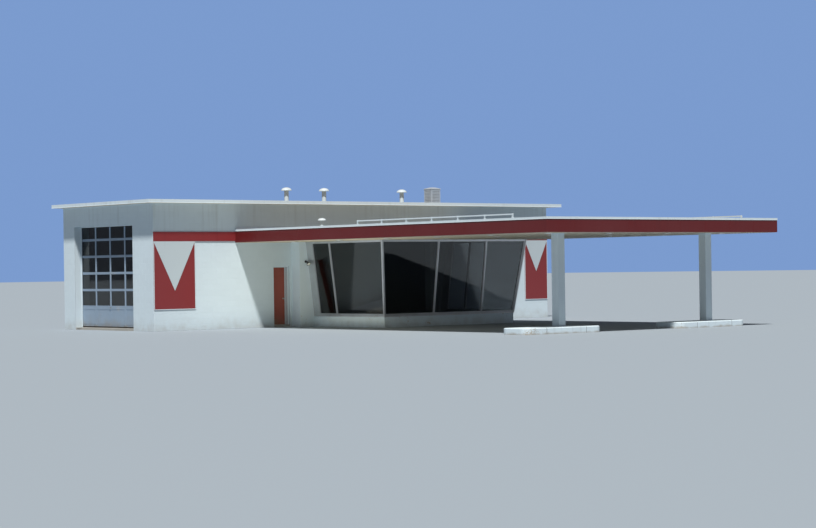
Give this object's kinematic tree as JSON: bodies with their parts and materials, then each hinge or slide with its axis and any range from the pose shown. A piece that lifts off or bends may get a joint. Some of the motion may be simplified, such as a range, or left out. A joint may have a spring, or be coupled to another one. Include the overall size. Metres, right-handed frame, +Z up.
{
  "type": "filling station building with drive-through canopy",
  "caption": "Flat-roofed filling station: a service block, a canted glass office and a drive-through canopy on two columns over kerbed islands.",
  "frame": {"origin": "middle of the footprint's bounding box, on the ground", "axes": "+X along the long front wall to the right, -Y out of the front towards the islands, +Z up"},
  "size_m": [19.9, 22.295, 5.32],
  "materials": {
    "white_wall": "white painted masonry and stucco",
    "concrete": "floated concrete",
    "kerb_white": "white painted concrete",
    "roof_gravel": "tar and gravel, cream painted underside",
    "white_metal": "white painted sheet metal",
    "red_metal": "red porcelain enamel",
    "red_door": "red gloss paint",
    "pale_blue": "pale blue white paint",
    "cream_soffit": "cream painted ceiling",
    "aluminium": "satin aluminium",
    "galvanised": "galvanised sheet",
    "dark_steel": "dark painted steel",
    "hardware": "worn chrome",
    "window_glass": "clear plate glass",
    "lamp_glass": "opal lens"
  },
  "bodies": {
    "station": {"floor_slab": "concrete", "end_wall_front": "white_wall", "end_wall_back": "white_wall", "end_wall_lintel": "white_wall", "far_end_wall": "white_wall", "back_wall": "white_wall", "front_wall_left": "white_wall", "front_wall_over_door": "white_wall", "front_wall_middle": "white_wall", "front_wall_over_office": "white_wall", "front_wall_right": "white_wall", "office_piers": "white_wall", "garage_door_frame": "white_metal", "garage_door_glass": "window_glass", "garage_door_panel": "pale_blue", "roof_slab": "roof_gravel", "roof_edge": "white_metal", "roof_vents": "white_metal", "roof_cooler": "galvanised", "wall_bands": "red_metal", "wall_panels": "red_metal", "panel_triangles": "white_metal", "restroom_frame": "white_metal", "hinge_pins": "hardware", "office_sill": "white_wall", "office_frame_left": "aluminium", "office_frame_front": "aluminium", "office_frame_right": "aluminium", "office_glass": "window_glass", "canopy_deck": "roof_gravel", "canopy_soffit": "cream_soffit", "canopy_girders": "dark_steel", "cross_beams": "dark_steel", "fascia_left": "red_metal", "fascia_front": "red_metal", "fascia_right": "red_metal", "canopy_cap": "white_metal", "soffit_lights": "lamp_glass", "letter_rails": "white_metal", "columns": "white_metal", "islands": "kerb_white", "wall_lamp": "dark_steel"},
    "restroom_leaf": {"restroom_door": "red_door", "door_knob": "hardware", "hinge_knuckles": "hardware"}
  },
  "joints": [
    {"name": "restroom_hinge", "type": "hinge", "parent": "station", "child": "restroom_leaf", "pos_m": [-4.271, 5.2975, 1.2], "axis": [0, 0, 1], "range_deg": [0, 95]}
  ]
}
